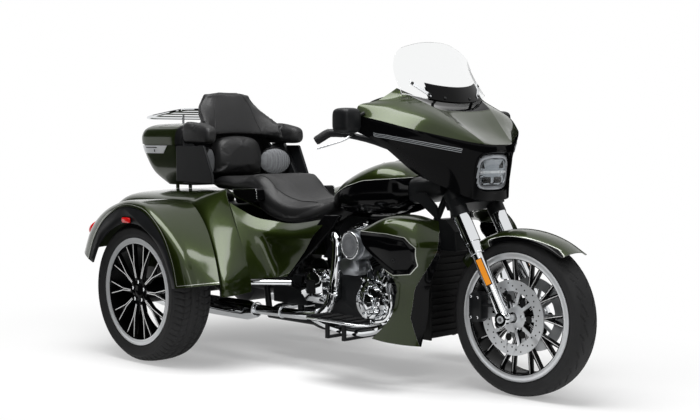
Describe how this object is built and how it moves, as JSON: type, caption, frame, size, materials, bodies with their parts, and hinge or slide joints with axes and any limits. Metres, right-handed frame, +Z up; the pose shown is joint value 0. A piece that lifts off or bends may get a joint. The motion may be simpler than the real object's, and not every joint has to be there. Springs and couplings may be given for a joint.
{
  "type": "motorized touring trike",
  "caption": "Touring trike with a steered front wheel, two rear wheels under fenders, fork-mounted fairing and windshield, V-twin engine, rear trunk, hinged top case and padded backrest.",
  "frame": {"origin": "middle of the overall length and width, on the ground under the tyres", "axes": "+X forward along the travel direction, +Y to the rider's left, +Z up"},
  "size_m": [2.5539, 1.4828, 1.428],
  "materials": {
    "green_paint": "dark olive metallic clearcoat",
    "gloss_black": "gloss black clearcoat",
    "satin_black": "satin black powder coat",
    "chrome": "polished chrome plate",
    "vinyl": "black grained vinyl",
    "windshield": "clear polycarbonate",
    "lamp_lens": "clear lamp lens over reflectors",
    "red_lens": "red moulded lens",
    "steel": "ground stainless steel",
    "wheel_black": "gloss black cast aluminium with machined edges",
    "tyre": "black tyre rubber"
  },
  "bodies": {
    "chassis": {"fuel_tank": "green_paint", "side_cover_right": "green_paint", "side_cover_left": "green_paint", "lower_fairing_right": "green_paint", "lower_fairing_left": "green_paint", "rear_body": "green_paint", "rear_fender_right": "green_paint", "rear_fender_left": "green_paint", "top_case_base": "green_paint", "arch_trims": "gloss_black", "frame": "satin_black", "engine_cases": "satin_black", "cylinders": "satin_black", "air_cleaner": "satin_black", "radiator": "satin_black", "trunk_tub": "satin_black", "speaker_pods": "satin_black", "rear_axle": "satin_black", "footboards": "satin_black", "rocker_covers": "chrome", "cam_cover": "chrome", "gearbox_cover": "chrome", "primary_cover": "chrome", "exhaust_pipes": "chrome", "mufflers": "chrome", "foot_controls": "chrome", "passenger_pegs": "chrome", "seat": "vinyl", "lower_back_pad": "vinyl", "rear_lamps": "red_lens"},
    "steering": {"triple_clamp": "satin_black", "fork_legs": "chrome", "front_fender": "green_paint", "fairing_upper": "green_paint", "fairing_lower": "gloss_black", "inner_fairing": "satin_black", "windshield": "windshield", "headlamp": "lamp_lens", "handlebar": "satin_black", "mirrors": "gloss_black", "brake_calipers": "satin_black", "front_axle": "steel"},
    "front_wheel": {"front_tyre": "tyre", "front_rim": "wheel_black", "front_discs": "steel"},
    "rear_wheel_right": {"rear_tyre_right": "tyre", "rear_rim_right": "wheel_black"},
    "rear_wheel_left": {"rear_tyre_left": "tyre", "rear_rim_left": "wheel_black"},
    "case_lid": {"top_case_lid": "green_paint", "backrest": "vinyl", "luggage_rack": "chrome"},
    "trunk_door": {"trunk_door": "green_paint"}
  },
  "joints": [
    {"name": "steering_turn", "type": "hinge", "parent": "chassis", "child": "steering", "pos_m": [1.05725, 0, 0], "axis": [-0.4384, 0, 0.8988], "range_deg": [-30, 30]},
    {"name": "front_wheel_spin", "type": "hinge", "parent": "steering", "child": "front_wheel", "pos_m": [0.95825, 0, 0.319], "axis": [0, 1, 0], "continuous": true},
    {"name": "rear_right_spin", "type": "hinge", "parent": "chassis", "child": "rear_wheel_right", "pos_m": [-0.71275, -0.595, 0.325], "axis": [0, 1, 0], "continuous": true},
    {"name": "rear_left_spin", "type": "hinge", "parent": "chassis", "child": "rear_wheel_left", "pos_m": [-0.71275, 0.595, 0.325], "axis": [0, 1, 0], "continuous": true},
    {"name": "case_lid_hinge", "type": "hinge", "parent": "chassis", "child": "case_lid", "pos_m": [-1.05225, 0.322, 0.986], "axis": [-1, 0, 0], "range_deg": [0, 80]},
    {"name": "trunk_door_hinge", "type": "hinge", "parent": "chassis", "child": "trunk_door", "pos_m": [-1.22925, 0, 0.712], "axis": [0, 1, 0], "range_deg": [0, 70]}
  ]
}
